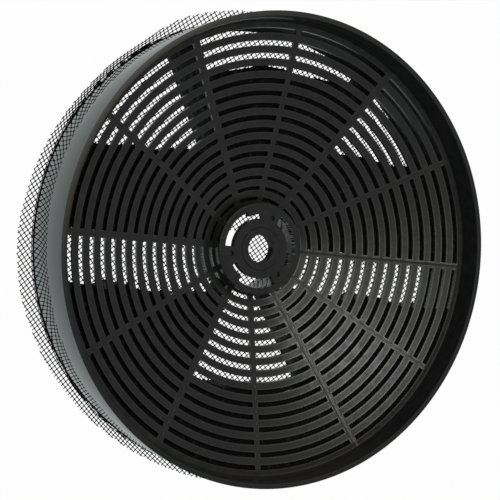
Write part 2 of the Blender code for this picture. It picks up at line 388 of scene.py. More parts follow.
def lathe(name, profile, steps):
    """A closed ring of revolution from a closed profile of radius and height."""
    bm = bmesh.new()
    verts = [bm.verts.new((radius, 0.0, height)) for radius, height in profile]
    edges = [bm.edges.new((verts[i - 1], verts[i])) for i in range(len(verts))]
    bmesh.ops.spin(bm, geom=verts + edges, cent=(0, 0, 0), axis=(0, 0, 1), angle=math.tau,
                   steps=steps, use_merge=True, use_duplicate=False)
    bmesh.ops.remove_doubles(bm, verts=bm.verts[:], dist=1e-6)
    bmesh.ops.recalc_face_normals(bm, faces=bm.faces[:])
    return new_object(name, bm)


def round_corner(corner, before, after, radius):
    """Points of a rounded corner between two straight runs of a profile."""
    steps = 3
    corner, before, after = Vector(corner), Vector(before), Vector(after)
    to_before = (before - corner).normalized()
    to_after = (after - corner).normalized()
    half = to_before.angle(to_after) / 2
    reach = radius / math.tan(half)
    start = corner + to_before * reach
    end = corner + to_after * reach
    points = []
    for step in range(steps + 1):
        share = step / steps
        first = start.lerp(corner, share)
        second = corner.lerp(end, share)
        points.append(tuple(first.lerp(second, share)))
    return points


def rounded(corners):
    """A closed profile from its corners, each rounded by its own radius in mm."""
    points = []
    for index, (corner, radius) in enumerate(corners):
        before = corners[index - 1][0]
        after = corners[(index + 1) % len(corners)][0]
        points += round_corner(corner, before, after, radius * MM)
    return points


def levels(sizes):
    """Heights that several pieces share, from the CAD housing's box."""
    rim = HOUSING_HIGH[2]
    return {
        "rim": rim,
        "back": HOUSING_LOW[2],
        "back_slope": BACK_RISE / (sizes.back_radius - sizes.hub_radius),
        "flange": rim - sizes.flange_drop,
        "hub": rim - sizes.hub_drop,
    }


def back_height(sizes, radius):
    level = levels(sizes)
    return level["back"] + level["back_slope"] * max(0.0, radius - sizes.hub_radius)


def grille_height(sizes, radius):
    return levels(sizes)["flange"] - sizes.grille_slope * (sizes.flange_radius - radius)


def opaque(colour, factor=1.0):
    """A colour with its alpha, made lighter or darker by a factor."""
    return (*[channel * factor for channel in colour], 1.0)


def make_material(name, colour, roughness):
    material = bpy.data.materials.new(name)
    material.use_nodes = True
    graph = Graph(material.node_tree)
    shader = material.node_tree.nodes["Principled BSDF"]
    shader.inputs["Base Color"].default_value = opaque(colour)
    shader.inputs["Roughness"].default_value = roughness
    return material, graph, shader


def texture_place(graph):
    return graph.node("ShaderNodeTexCoord").outputs["Object"]


def noise(graph, place, scale, detail=2.0, rough=0.5):
    return graph.number("ShaderNodeTexNoise", {"noise_dimensions": "3D"},
                        {"Vector": place, "Scale": scale, "Detail": detail, "Roughness": rough},
                        "Fac")


def polar(graph, place):
    """Radius, angle and height of a place, as numbers."""
    x, y, z = graph.parts(place)
    return (x * x + y * y).math("SQRT"), y.math("ARCTAN2", x), z


def smooth_step(graph, value, start, end):
    """Rises smoothly from 0 to 1 between two values."""
    return graph.number("ShaderNodeMapRange", {"interpolation_type": "SMOOTHSTEP"},
                        {"Value": value, "From Min": start, "From Max": end})


def ramp(graph, angle, start, end):
    """Rises smoothly from 0 to 1 between two angles in degrees."""
    return smooth_step(graph, angle, math.radians(start), math.radians(end))


def band(graph, angle, stretch):
    """Is 1 in one stretch round the axis, with soft ends."""
    start, full, fade, end = stretch
    return ramp(graph, angle, start, full) * (1.0 - ramp(graph, angle, fade, end))


def stripe(graph, across, middle, half_width):
    """Is 1 along a line at one distance and falls smoothly to 0 on both sides."""
    return 1.0 - smooth_step(graph, (across - middle).math("ABSOLUTE"), 0.0, half_width)


def colour_mix(graph, share, first, second):
    mix = graph.node("ShaderNodeMix", {"data_type": "RGBA", "blend_type": "MIX"},
                     {"Factor": share, "A": first, "B": second})
    return graph.out(mix, "Result")


def add_bump(graph, shader, height, strength, distance):
    """A Bump node that feeds the shader's Normal."""
    bump = graph.node("ShaderNodeBump", None,
                      {"Strength": strength, "Distance": distance, "Height": height})
    graph.join(shader.inputs["Normal"], bump.outputs[0])
    return bump


def moulding_material(name, colour, roughness, ripple, drag, tint=(1.0, 1.0, 1.0)):
    """Black moulded plastic: faint flow marks, a slight orange peel and cloudy patches.

    Returns the material with its graph, its shader and the numbers that a piece adds to.
    """
    material, graph, shader = make_material(name, colour, roughness)
    shader.inputs["Specular Tint"].default_value = opaque(tint)
    place = texture_place(graph)
    radius, angle, height = polar(graph, place)
    flow = noise(graph, graph.vector(radius * 0.5, angle * 0.05, height * 0.5), 180.0, 3.0, 0.6)
    patches = noise(graph, place, 220.0, 4.0, 0.65)
    peel = noise(graph, place, 900.0)
    cloudy = ((patches - 0.38) * 3.2).clip(0.0, 1.0)
    rough = roughness * (0.75 + cloudy * 0.5 + (flow - 0.5) * 0.3)
    tone = colour_mix(graph, cloudy, opaque(colour, 1.25), opaque(colour, 0.75))
    surface = flow * drag + peel * ripple + patches * drag
    graph.join(shader.inputs["Roughness"], rough)
    graph.join(shader.inputs["Base Color"], tone)
    bump = add_bump(graph, shader, surface, 0.5, 0.4 * MM)
    parts = {"radius": radius, "angle": angle, "height": height, "rough": rough, "tone": tone,
             "surface": surface, "bump": bump, "cloudy": cloudy}
    return material, graph, shader, parts


def grille_material(sizes, finish):
    """The grille's satin black, with glossier slot edges and sink marks along the spokes."""
    material, graph, shader, parts = moulding_material("grille_satin", finish.face,
                                                       0.24, 0.05, 0.3)
    # Distance to the nearest slot, from the distances to its ring and to the nearest spoke.
    radius = parts["radius"]
    is_inner = radius < sizes.first_slot - sizes.slot_pitch / 2
    pitch = pick(is_inner, sizes.inner_pitch, sizes.slot_pitch)
    half_slot = pick(is_inner, sizes.inner_width, sizes.slot_width) / 2.0
    rings = (radius - pick(is_inner, sizes.inner_slot, sizes.first_slot)) / pitch
    from_ring = (rings - (rings + 0.5).floor()).math("ABSOLUTE") * pitch
    turns = parts["angle"] / SECTOR
    spoke = (turns + 0.5).floor()
    is_light = is_odd(spoke)
    across = radius * ((turns - spoke) * SECTOR).math("SINE")
    half_spoke = pick(is_light, sizes.light_spoke, sizes.main_spoke) / 2.0
    past_ring = (from_ring - half_slot).math("MAXIMUM", 0.0)
    past_spoke = (half_spoke - across.math("ABSOLUTE")).math("MAXIMUM", 0.0)
    from_slot = (past_ring * past_ring + past_spoke * past_spoke).math("SQRT")
    edge = 1.0 - smooth_step(graph, from_slot, 0.25 * MM, 0.75 * MM)
    # The dull band along the rim, and a light brownish line painted at its foot: a painted
    # highlight where the lamp's light falls on the grille.
    to_rim = radius - sizes.flange_radius
    flange = smooth_step(graph, to_rim, -2.9 * MM, -2.3 * MM)
    foot = smooth_step(graph, to_rim, -0.9 * MM, -0.5 * MM)
    turn = full_turn(parts["angle"])
    highlit = band(graph, turn, HIGHLIT_GRILLE)
    lit = ramp(graph, turn, *LIT_FROM) + 1.0 - ramp(graph, turn, *LIT_TO)
    graph.join(shader.inputs["Roughness"], parts["rough"] + flange * 0.5)
    # The base colour gets that painted highlight: a light brownish line along the flange's foot,
    # only in the stretch under the lamp.
    graph.join(shader.inputs["Base Color"],
               colour_mix(graph, foot * highlit * 0.5, parts["tone"], opaque(finish.lip)))
    # A ridge with a lump at each bar and a groove beside it run along every main spoke.
    ridge = stripe(graph, across, 0.8 * MM, 0.9 * MM)
    groove = stripe(graph, across, -0.5 * MM, 0.7 * MM)
    lumps = ((rings * math.tau).math("COSINE") * -0.5 + 0.5).math("POWER", 2.0)
    is_main = 1.0 - is_light
    glint = (edge * (1.0 - flange) * (0.4 + lit * 0.6)
             + ridge * (lumps * 0.6 + 0.4) * highlit * is_main)
    graph.join(shader.inputs["Coat Weight"], glint.clip(0.0, 1.0))
    shader.inputs["Coat Roughness"].default_value = 0.25
    shader.inputs["Coat IOR"].default_value = 1.7
    marks = ((ridge * (lumps * 0.5 + 0.2) - groove * 0.15) * is_main
             + ridge * lumps * is_light * 0.25)
    graph.join(parts["bump"].inputs["Height"], parts["surface"] + marks)
    return material


def rim_material(sizes, finish):
    """Glossy outer wall; the lip is worn and brownish, the inside below the grille dusty, and a
    brownish painted light lies on the inside above the grille where it faces the lamp.
    """
    material, graph, shader, parts = moulding_material(
        "wall_gloss", finish.moulding, 0.035, 0.0, 0.02, (0.82, 0.97, 1.0))
    level = levels(sizes)
    turn = full_turn(parts["angle"])
    is_lip = parts["height"] > level["rim"] - 0.3 * MM
    inside = (parts["radius"] < sizes.rim_radius - sizes.lip + 0.1 * MM) * (1.0 - is_lip)
    low = inside * (parts["height"] < level["flange"] - 1.0 * MM)
    worn = (band(graph, turn, WORN_LIP) * 0.55
            + (1.0 - band(graph, turn, CLEAN_LIP)) * 0.12)
    # A brownish tone painted on the inside above the grille, on the stretch that faces the lamp:
    # painted light.
    painted_warm_light = inside * (1.0 - low) * band(graph, turn, PAINTED_LIGHT_RIM) * 0.18
    brown = opaque(finish.lip)
    dust = (0.13, 0.13, 0.13, 1.0)
    tone = colour_mix(graph, is_lip * worn * (0.7 + parts["cloudy"] * 0.5), parts["tone"], brown)
    tone = colour_mix(graph, painted_warm_light, tone, brown)
    tone = colour_mix(graph, low * 0.8, tone, dust)
    graph.join(shader.inputs["Base Color"], tone)
    graph.join(shader.inputs["Roughness"],
               parts["rough"] + is_lip * 0.3 + inside * 0.15 + low * 0.6)
    return material


def hub_material(sizes, finish):
    """The hub's black: dusty inside, apart from two bare stretches, and matt in its hole."""
    material, graph, shader, parts = moulding_material("hub_gloss", finish.face,
                                                       0.2, 0.02, 0.15)
    turn = full_turn(parts["angle"] - math.radians(HUB_TURN))
    inside = ((parts["radius"] < sizes.hub_radius - 0.5 * sizes.hub_wall)
              * (parts["height"] < levels(sizes)["hub"] - 1.0 * MM))
    bare = 1.0 - ramp(graph, turn, *BARE_HUB_TO) + band(graph, turn, BARE_HUB)
    in_hole = parts["radius"] < sizes.hub_hole + 0.3 * MM
    graph.join(shader.inputs["Roughness"],
               parts["rough"] + inside * (0.25 - bare * 0.3) + in_hole * 0.5)
    return material


def net_material(colour):
    """Extruded black net: slightly uneven gloss along the strands."""
    material, graph, shader = make_material("net_strands", colour, 0.35)
    shader.inputs["Specular IOR Level"].default_value = 0.3
    place = texture_place(graph)
    patches = noise(graph, place, 120.0)
    grain = noise(graph, place, 1500.0, 2.0, 0.6)
    graph.join(shader.inputs["Roughness"], 0.4 + patches * 0.3)
    add_bump(graph, shader, grain, 0.3, 0.1 * MM)
    return material


def carbon_material(colour):
    """Activated carbon: matt black lumps, each a little lighter or darker, with fine pores."""
    material, graph, shader = make_material("carbon_granules", colour, 0.75)
    shader.inputs["Specular IOR Level"].default_value = 0.25
    place = texture_place(graph)
    lumps = noise(graph, place, 400.0, 1.0)
    pores = noise(graph, place, 2500.0, 3.0, 0.7)
    rare = smooth_step(graph, noise(graph, place, 330.0), 0.6, 0.68)
    tone = colour_mix(graph, ((lumps - 0.35) * 3.0).clip(0.0, 1.0),
                      opaque(colour, 0.5), opaque(colour, 2.0))
    grey = (0.05, 0.05, 0.05, 1.0)
    tone = colour_mix(graph, rare * 0.7, tone, grey)
    graph.join(shader.inputs["Base Color"], tone)
    graph.join(shader.inputs["Roughness"], 0.5 + pores * 0.4)
    add_bump(graph, shader, pores, 0.6, 0.2 * MM)
    return material


def shared_material(name, build):
    """A material by name, built on its first use."""
    return bpy.data.materials.get(name) or build()


# Matt plastic for the compartment walls, its colour painted at three tenths of the moulding's:
# painted shade behind the grille.
def painted_shade_plastic(finish):
    return shared_material("walls_painted_shade", lambda: moulding_material(
        "walls_painted_shade", [0.3 * channel for channel in finish.moulding], 0.9, 0.3, 0.5)[0])


def grille_tree(sizes, material):
    """The slotted cone: a grid wrapped round the axis, its slot cells taken out."""
    steps = 10
    per_sector = steps + 1
    tree = Growth("grille", {
        "First slot": sizes.first_slot, "Slot pitch": sizes.slot_pitch,
        "Slot width": sizes.slot_width, "Inner slot": sizes.inner_slot,
        "Inner pitch": sizes.inner_pitch, "Inner width": sizes.inner_width,
        "Main spoke": sizes.main_spoke, "Light spoke": sizes.light_spoke,
        "Slope": sizes.grille_slope, "Flange radius": sizes.flange_radius,
        "Flange height": levels(sizes)["flange"], "Thickness": sizes.grille_thick,
        "Start radius": sizes.hub_radius - sizes.hub_wall / 2,
        "End radius": sizes.flange_radius + 1.2 * MM,
    })
    size = tree.size
    rows = 2 * SLOT_RINGS + 2
    columns = SPOKES * per_sector + 1
    grid = tree.node("GeometryNodeMeshGrid", None,
                     {"Size X": 1.0, "Size Y": 1.0, "Vertices X": columns, "Vertices Y": rows})
    index = tree.number("GeometryNodeInputIndex")
    column, row = whole_and_rest(index, rows)
    ring = ((row - 0.5) / 2.0).floor()
    outer_side = row - 1 - ring * 2
    is_inner = ring < INNER_RINGS - 0.5
    wide_centre = size("First slot") + (ring - INNER_RINGS) * size("Slot pitch")
    inner_centre = size("Inner slot") + ring * size("Inner pitch")
    centre = pick(is_inner, inner_centre, wide_centre)
    width = pick(is_inner, size("Inner width"), size("Slot width"))
    radius = (centre + (outer_side - 0.5) * width).clip(size("Start radius"), size("End radius"))
    spoke, step = whole_and_rest(column, per_sector)
    half = pick(is_odd(spoke), size("Light spoke"), size("Main spoke")) / 2.0
    edge_turn = (half / radius).math("ARCSINE") * (step * 2.0 - 1.0)
    between = (step - 1.0) * (SECTOR / steps)
    at_spoke = step < 1.5
    angle = spoke * SECTOR + between + at_spoke * (edge_turn - between)
    height = size("Flange height") - size("Slope") * (size("Flange radius") - radius)
    point = tree.vector(radius * angle.math("COSINE"), radius * angle.math("SINE"), height)
    face_column, face_row = whole_and_rest(index, rows - 1)
    face_step = whole_and_rest(face_column, per_sector)[1]
    is_hole = is_odd(face_row) * (face_step > 0.5)
    placed = tree.node("GeometryNodeSetPosition", None,
                       {"Geometry": grid.outputs["Mesh"], "Position": point})
    pierced = tree.node("GeometryNodeDeleteGeometry", {"domain": "FACE"},
                        {"Geometry": placed.outputs[0], "Selection": is_hole})
    sealed = tree.node("GeometryNodeMergeByDistance", None,
                       {"Geometry": pierced.outputs[0], "Distance": 1e-5})
    upward = tree.node("GeometryNodeFlipFaces", None, {"Mesh": sealed.outputs[0]})
    sunk = tree.node("GeometryNodeExtrudeMesh", {"mode": "FACES"},
                     {"Mesh": sealed.outputs[0],
                      "Offset": tree.vector(0.0, 0.0, size("Thickness") * -1.0),
                      "Offset Scale": 1.0, "Individual": False})
    both = tree.node("GeometryNodeJoinGeometry", None,
                     {"Geometry": [upward.outputs[0], sunk.outputs["Mesh"]]})
    closed = tree.node("GeometryNodeMergeByDistance", None,
                       {"Geometry": both.outputs[0], "Distance": 1e-6})
    tree.finish(closed.outputs[0], material)
    return tree


class FILTER_OT_grille(bpy.types.Operator):
    """Add the dished grille with its ring slots and spokes"""
    bl_idname = "filter.add_grille"
    bl_label = "Grille"

    def execute(self, context):
        sizes = context.scene.filter_sizes
        material = grille_material(sizes, context.scene.filter_finish)
        grille = new_object("grille")
        grille_tree(sizes, material).grow(grille)
        bevel = add_bevel(grille, sizes.edge_round, 40.0)
        bevel.harden_normals = True
        grille.data.shade_smooth()
        settle(grille)
        claim(grille, "black_moulding", "housing")
        return {"FINISHED"}


class FILTER_OT_rim(bpy.types.Operator):
    """Add the rim and the outer wall"""
    bl_idname = "filter.add_rim"
    bl_label = "Rim and outer wall"

    def execute(self, context):
        sizes = context.scene.filter_sizes
        level = levels(sizes)
        inner = sizes.back_radius - sizes.wall
        inner_back = back_height(sizes, inner)
        under = level["flange"] - sizes.grille_thick
        # Corners from the back, with the radius of each one's rounding in mm.
        corners = [
            ((sizes.back_radius, back_height(sizes, sizes.back_radius)), 0.2),
            ((sizes.rim_radius, level["rim"]), 0.12),
            ((sizes.rim_radius - sizes.lip, level["rim"]), 0.25),
            ((sizes.flange_radius, level["flange"]), 0.25),
            ((sizes.flange_radius, under), 0.2),
            ((inner, under - 1.0 * MM), 0.1),
            ((inner, inner_back + 5.0 * MM), 0.6),
            ((inner - sizes.ledge, inner_back + 1.5 * MM), 0.3),
            ((inner - sizes.ledge, inner_back + 0.1 * MM), 0.1),
        ]
        rim = lathe("rim_wall", rounded(corners), 288)
        smooth(rim, 40.0)
        rim.data.materials.append(rim_material(sizes, context.scene.filter_finish))
        claim(rim, "black_moulding", "housing")
        return {"FINISHED"}


class FILTER_OT_hub(bpy.types.Operator):
    """Add the raised hub with its centre hole, collar, bayonet slots and dimples"""
    bl_idname = "filter.add_hub"
    bl_label = "Hub"

    def execute(self, context):
        sizes = context.scene.filter_sizes
        level = levels(sizes)
        face = level["hub"]
        under = face - sizes.hub_disc
        inner = sizes.hub_radius - sizes.hub_wall
        collar_top = face + 0.7 * MM
        sleeve_foot = under - 2.0 * MM
        sleeve = sizes.hub_hole + 1.6 * MM
        # Corners from inside the hole, with the radius of each one's rounding in mm.
        corners = [
            ((sizes.hub_hole, sleeve_foot), 0.3),
            ((sizes.hub_hole, collar_top), 0.6),
            ((sizes.collar, collar_top), 0.25),
            ((sizes.collar + 0.5 * MM, face), 0.25),
            ((sizes.hub_radius, face), 0.7),
            ((sizes.hub_radius, level["back"]), 0.2),
            ((inner, level["back"]), 0.2),
            ((inner, under), 0.6),
            ((sleeve, under), 0.3),
            ((sleeve, sleeve_foot), 0.2),
        ]
        hub = lathe("hub", rounded(corners), 180)
        cutter = self.bayonet_cutter(sizes, face)
        cut = hub.modifiers.new("Slots", "BOOLEAN")
        cut.object = cutter
        cut.solver = "EXACT"
        settle(hub)
        bpy.data.objects.remove(cutter)
        add_bevel(hub, 0.15 * MM, 50.0)
        weight = hub.modifiers.new("Flat faces", "WEIGHTED_NORMAL")
        weight.weight = 80
        hub.data.shade_smooth()
        settle(hub)
        hub.data.materials.clear()
        hub.data.materials.append(hub_material(sizes, context.scene.filter_finish))
        claim(hub, "black_moulding", "housing")
        return {"FINISHED"}

    def bayonet_cutter(self, sizes, face):
        """Three arc-shaped blocks and three small cones, as one cutter."""
        bm = bmesh.new()
        for turn in (0.0, 120.0, 240.0):
            start, wide, end = turn + BAYONET_START, turn + BAYONET_WIDE, turn + BAYONET_END
            outline = arc_points(sizes.bayonet_step, start, wide)
            outline += arc_points(sizes.bayonet_out, wide, end)
            outline += arc_points(sizes.bayonet_in, end, start)
            bottom = [bm.verts.new((x, y, face - 6.0 * MM)) for x, y in outline]
            block = bmesh.ops.extrude_face_region(bm, geom=[bm.faces.new(bottom)])
            for item in block["geom"]:
                if isinstance(item, bmesh.types.BMVert):
                    item.co.z = face + 4.0 * MM
        for angle in DIMPLE_TURNS:
            turn = math.radians(angle)
            place = Vector((DIMPLE_CIRCLE * math.cos(turn), DIMPLE_CIRCLE * math.sin(turn), face))
            bmesh.ops.create_cone(bm, cap_ends=True, segments=24, radius1=1.2 * MM,
                                  radius2=1.7 * MM, depth=3.2 * MM,
                                  matrix=Matrix.Translation(place))
        bmesh.ops.recalc_face_normals(bm, faces=bm.faces[:])
        return new_object("bayonet_cutter", bm)


def arc_points(radius, start, end):
    """Points along an arc, about 3 degrees apart."""
    steps = max(2, round(abs(end - start) / 3.0))
    points = []
    for step in range(steps + 1):
        angle = math.radians(start + (end - start) * step / steps)
        points.append((radius * math.cos(angle), radius * math.sin(angle)))
    return points


class FILTER_OT_walls(bpy.types.Operator):
    """Add the six walls behind the grille that divide the carbon"""
    bl_idname = "filter.add_walls"
    bl_label = "Compartment walls"

    def execute(self, context):
        sizes = context.scene.filter_sizes
        inner = sizes.hub_radius - sizes.hub_wall / 2
        outer = sizes.back_radius - sizes.wall / 2
        half = sizes.main_spoke / 2
        bm = bmesh.new()
        for spoke in range(0, SPOKES, 2):
            turn = Matrix.Rotation(spoke * SECTOR, 4, "Z")
            outline = []
            for radius in (inner, sizes.hub_radius, outer):
                outline.append((radius, back_height(sizes, radius)))
            top_outer = min(outer, sizes.flange_radius)
            for radius in (outer, top_outer, inner):
                height = grille_height(sizes, min(radius, top_outer)) - sizes.grille_thick / 2
                outline.append((radius, height))
            side = [bm.verts.new(turn @ Vector((r, -half, z))) for r, z in outline]
            slab = bmesh.ops.extrude_face_region(bm, geom=[bm.faces.new(side)])
            thick = turn @ Vector((0.0, 2 * half, 0.0))
            for item in slab["geom"]:
                if isinstance(item, bmesh.types.BMVert):
                    item.co += thick
        bmesh.ops.recalc_face_normals(bm, faces=bm.faces[:])
        walls = new_object("compartment_walls", bm)
        add_bevel(walls, 0.25 * MM, 30.0)
        settle(walls)
        smooth(walls, 40.0)
        walls.data.materials.append(painted_shade_plastic(context.scene.filter_finish))
        claim(walls, "black_moulding", "housing")
        return {"FINISHED"}


def direction(degrees):
    """A step of length 1 at an angle from +X."""
    turn = math.radians(degrees)
    return Vector((math.cos(turn), math.sin(turn)))


def net_tree(sizes, material, lines_long):
    """One family of the net's strands, laid on the back's cone and cut to the round.

    Each strand has three points at every crossing: a thick knot, and a thinner point on both
    sides of it, so that a cut leaves a short stub.
    """
    long_axis = direction(LONG_TURN)
    short_axis = direction(SHORT_TURN)
    turn = long_axis.x * short_axis.y - long_axis.y * short_axis.x
    # Dual axes: a step of one spacing along one leaves the other family's lines in place.
    line_step = Vector((short_axis.y, -short_axis.x)) / turn
    cross_step = Vector((-long_axis.y, long_axis.x)) / turn
    spacing, crossing, below = sizes.net_long, sizes.net_short, 0.55 * MM
    if not lines_long:
        line_step, cross_step = cross_step, line_step
        spacing, crossing, below = sizes.net_short, sizes.net_long, 0.85 * MM
    level = levels(sizes)
    tree = Growth("net_strands", {
        "Line spacing": spacing, "Cross spacing": crossing, "Strand radius": sizes.strand,
        "Knot": sizes.knot, "Relaxation": sizes.net_relax,
        "Brim": sizes.brim, "Bend": sizes.brim_bend, "Hole radius": sizes.net_hole,
        "Flat radius": sizes.hub_radius, "Slope": level["back_slope"],
        "Middle height": level["back"] - below, "Wall radius": sizes.back_radius,
    })
    size = tree.size
    reach = sizes.back_radius + sizes.brim + 4.0 * MM
    line_count = 2 * int(reach / spacing) + 1
    cross_count = 2 * int(reach / crossing) + 1
    per_line = 3 * cross_count
    chain = tree.node("GeometryNodeMeshLine", {"mode": "OFFSET"},
                      {"Count": line_count * per_line})
    index = tree.number("GeometryNodeInputIndex")
    is_last = whole_and_rest(index + 1.0, per_line)[1] < 0.5
    broken = tree.node("GeometryNodeDeleteGeometry", {"domain": "EDGE", "mode": "EDGE_FACE"},
                       {"Geometry": chain.outputs[0], "Selection": is_last})
    line, along = whole_and_rest(index, per_line)
    cell, third = whole_and_rest(along, 3.0)
    side = third - 1.0
    a = (line - (line_count - 1) / 2) * size("Line spacing")
    b = (cell - (cross_count - 1) / 2) * size("Cross spacing")
    stub = b + side * STUB
    x = a * line_step.x + stub * cross_step.x
    y = a * line_step.y + stub * cross_step.y
    hole_x = a * line_step.x + b * cross_step.x + HOLE_SHIFT
    hole_y = a * line_step.y + b * cross_step.y + HOLE_SHIFT
    from_hole = (hole_x * hole_x + hole_y * hole_y).math("SQRT")
    wall = size("Wall radius")
    past, radius = past_weld(tree, x, y, wall, long_axis)
    angle = full_turn(y.math("ARCTAN2", x))
    edge = size("Brim") + brim_change(tree, angle)
    outside = (past > edge + 0.2 * MM) + (from_hole < size("Hole radius")) > 0.5
    tilt = size("Slope").math("ARCTANGENT") + size("Bend") * bend_share(tree, angle)
    inside = radius.math("MINIMUM", wall)
    shrink = (inside + past * tilt.math("COSINE")) / radius
    height = (size("Middle height")
              + size("Slope") * (inside - size("Flat radius")).math("MAXIMUM", 0.0)
              + past * tilt.math("SINE"))
    placed = tree.node("GeometryNodeSetPosition", None,
                       {"Geometry": broken.outputs[0],
                        "Position": tree.vector(x * shrink, y * shrink, height)})
    thick = tree.node("GeometryNodeStoreNamedAttribute", {"domain": "POINT"},
                      {"Geometry": placed.outputs[0], "Name": "thick",
                       "Value": 1.0 + (size("Knot") - 1.0) * (1.0 - side * side)})
    cut = tree.node("GeometryNodeDeleteGeometry", {"domain": "POINT", "mode": "ALL"},
                    {"Geometry": thick.outputs[0], "Selection": outside})
    curves = tree.node("GeometryNodeMeshToCurve", None, {"Mesh": cut.outputs[0]})
    thickness = tree.node("GeometryNodeInputNamedAttribute", None, {"Name": "thick"}).outputs[0]
    ring = tree.node("GeometryNodeCurvePrimitiveCircle", None,
                     {"Resolution": 3, "Radius": size("Strand radius")})
    tubes = tree.node("GeometryNodeCurveToMesh", None,
                      {"Curve": curves.outputs[0], "Profile Curve": ring.outputs[0],
                       "Scale": thickness, "Fill Caps": True})
    tree.finish(tubes.outputs[0], material)
    return tree


def past_weld(tree, x, y, wall, long_axis):
    """How far a point of the net lies outside the weld, once relaxed, and its plain radius."""
    radius = (x * x + y * y).math("SQRT")
    along = (x * long_axis.x + y * long_axis.y) / radius
    past = (radius - wall).math("MAXIMUM", 0.0)
    return past * (1.0 - tree.size("Relaxation") * along * along), radius


def brim_change(tree, angle):
    """How much wider or narrower than its mean the brim was cut at an angle."""
    return (band(tree, angle, WIDE_BRIM) * BRIM_WIDER
            - band(tree, angle, NARROW_BRIM) * BRIM_NARROWER)


def bend_share(tree, angle):
    """Forward bend of the brim at an angle, as a share of the greatest."""
    return band(tree, angle, UPPER_BEND) + band(tree, angle, LOWER_BEND) * LESSER_BEND


def seam_tree(sizes, material):
    """The uneven weld between the net and the foot of the wall."""
    tree = Growth("seam", {"Radius": sizes.back_radius + 0.25 * MM, "Thickness": sizes.seam,
                           "Height": back_height(sizes, sizes.back_radius) - 0.1 * MM})
    circle = tree.node("GeometryNodeCurvePrimitiveCircle", None,
                       {"Resolution": 720, "Radius": tree.size("Radius")})
    place = tree.node("GeometryNodeInputPosition").outputs[0]
    x, y, _ = tree.parts(place)
    lumps = noise(tree, place, 190.0, 1.0)
    melted = bend_share(tree, full_turn(y.math("ARCTAN2", x)))
    thick = 0.75 + ((lumps - 0.45) * 4.0).clip(0.0, 1.0) * (0.3 + melted * 0.4)
    raised = tree.node("GeometryNodeSetPosition", None,
                       {"Geometry": circle.outputs[0],
                        "Offset": tree.vector(0.0, 0.0, tree.size("Height"))})
    swollen = tree.node("GeometryNodeSetCurveRadius", None,
                        {"Curve": raised.outputs[0], "Radius": thick})
    ring = tree.node("GeometryNodeCurvePrimitiveCircle", None,
                     {"Resolution": 8, "Radius": tree.size("Thickness")})
    tube = tree.node("GeometryNodeCurveToMesh", None,
                     {"Curve": swollen.outputs[0], "Profile Curve": ring.outputs[0],
                      "Scale": thick})
    tree.finish(tube.outputs[0], material)
    return tree


class FILTER_OT_net(bpy.types.Operator):
    """Add the net over the back, with its brim and its hole"""
    bl_idname = "filter.add_net"
    bl_label = "Net"

    def execute(self, context):
        sizes = context.scene.filter_sizes
        finish = context.scene.filter_finish
        material = shared_material("net_strands", lambda: net_material(finish.net))
        for name, lines_long in (("net_strands_one_way", True), ("net_strands_other_way", False)):
            net = new_object(name)
            net_tree(sizes, material, lines_long).grow(net)
            net.data.shade_smooth()
            claim(net, "black_net", "net")
        seam = new_object("net_seam")
        seam_tree(sizes, material).grow(seam)
        seam.data.shade_smooth()
        claim(seam, "black_net", "net")
        return {"FINISHED"}


def bed_tree(sizes, material, seed):
    """Carbon granules scattered over a bed's faces."""
    tree = Growth("carbon", {"Granule": sizes.granule, "Seed": seed})
    source = tree.out(tree.entry, "Geometry")
    points = tree.node("GeometryNodeDistributePointsOnFaces", {"distribute_method": "POISSON"},
                       {"Mesh": source, "Distance Min": tree.size("Granule") * GRANULE_SPACING,
                        "Density Max": GRANULES_PER_SQUARE_METRE, "Seed": tree.size("Seed")})
    inward = tree.node("ShaderNodeVectorMath", {"operation": "SCALE"},
                       {0: points.outputs["Normal"],
                        "Scale": tree.size("Granule") * GRANULE_SINK})
    sunk = tree.node("GeometryNodeSetPosition", None,
                     {"Geometry": points.outputs["Points"], "Offset": inward.outputs[0]})
    lump = tree.node("GeometryNodeMeshIcoSphere", None,
                     {"Radius": tree.size("Granule"), "Subdivisions": 1})
    turn = tree.node("FunctionNodeRandomValue", {"data_type": "FLOAT_VECTOR"},
                     {"Min": (0.0, 0.0, 0.0), "Max": (math.tau, math.tau, math.tau),
                      "Seed": tree.size("Seed")})
    stretch = tree.node("FunctionNodeRandomValue", {"data_type": "FLOAT_VECTOR"},
                        {"Min": (0.65, 0.65, 0.6), "Max": (1.15, 1.05, 1.0),
                         "Seed": tree.size("Seed") + 3})
    lumps = tree.node("GeometryNodeInstanceOnPoints", None,
                      {"Points": sunk.outputs[0], "Instance": lump.outputs[0],
                       "Rotation": tree.out(turn, "Value"),
                       "Scale": tree.out(stretch, "Value")})
    both = tree.node("GeometryNodeJoinGeometry", None,
                     {"Geometry": [source, lumps.outputs[0]]})
    tree.finish(both.outputs[0], material)
    return tree


# Top edge of the carbon in each space, as X and Y in mm, going round from +X.
BED_EDGES = (
    ((0, 55.5), (55, 55.5), (70, 52.5), (120, 54.5)),
    ((-60, 82), (-45, 85), (-30, 90), (-15, 94.5), (-2, 94.5), (3, 92.3), (60, 92.5)),
    ((-120, 44), (-97, 43.5), (-79, 46), (-67, 45), (-58, 47), (-41, 48.5), (0, 49)),
    ((-120, -23), (-97, -24.5), (-90, -26), (-78, -22.5), (-64, -26), (-50, -26.5), (0, -24)),
    ((-60, -70.5), (-24, -70.5), (-18, -72), (60, -72)),
    ((0, -23.5), (34, -19.5), (52, -22.5), (72, -19.5), (86, -23.5), (120, -22)),
)


def edge_height(points, x):
    """Height of a broken line at X."""
    for (x0, y0), (x1, y1) in zip(points, points[1:]):
        if x0 * MM <= x <= x1 * MM:
            return (y0 + (y1 - y0) * (x / MM - x0) / (x1 - x0)) * MM
    return points[0][1] * MM if x < points[0][0] * MM else points[-1][1] * MM


